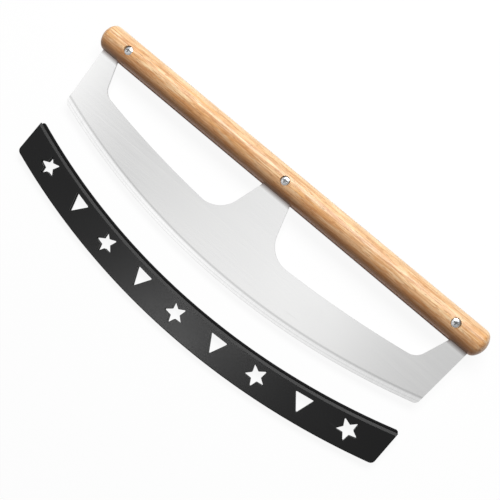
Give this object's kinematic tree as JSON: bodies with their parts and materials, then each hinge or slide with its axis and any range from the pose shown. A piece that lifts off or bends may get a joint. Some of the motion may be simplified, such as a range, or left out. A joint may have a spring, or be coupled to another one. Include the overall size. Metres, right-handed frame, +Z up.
{
  "type": "rocking pizza knife",
  "caption": "Long curved rocking blade under a full-length round wooden handle, with finger gaps between its necks and a slip-on sheath with star and triangle cut-outs.",
  "frame": {"origin": "on the table, under the middle of the outline of the knife and its taken-off sheath, which lie side by side", "axes": "+X along the handle, +Y from the cutting edge to the handle, +Z up from the table; the blade plate leans 3.4 degrees up towards the handle, and the screw heads face up"},
  "size_m": [0.355, 0.1462, 0.021],
  "materials": {
    "blade_steel": "satin stainless steel, ground bevel",
    "handle_wood": "oiled warm brown wood with long grain",
    "fastener_steel": "bright plated steel",
    "sheath_plastic": "satin black moulded plastic"
  },
  "bodies": {
    "knife": {"handle": "handle_wood", "blade": "blade_steel", "screw_left": "fastener_steel", "screw_middle": "fastener_steel", "screw_right": "fastener_steel", "barrel_nut_left": "fastener_steel", "barrel_nut_middle": "fastener_steel", "barrel_nut_right": "fastener_steel"},
    "sheath": {"sheath": "sheath_plastic"}
  },
  "joints": [
    {"name": "sheath_slide", "type": "slide", "parent": "knife", "child": "sheath", "axis": [0, 0.9982, 0.06], "range_m": [0, 0.0489]}
  ]
}
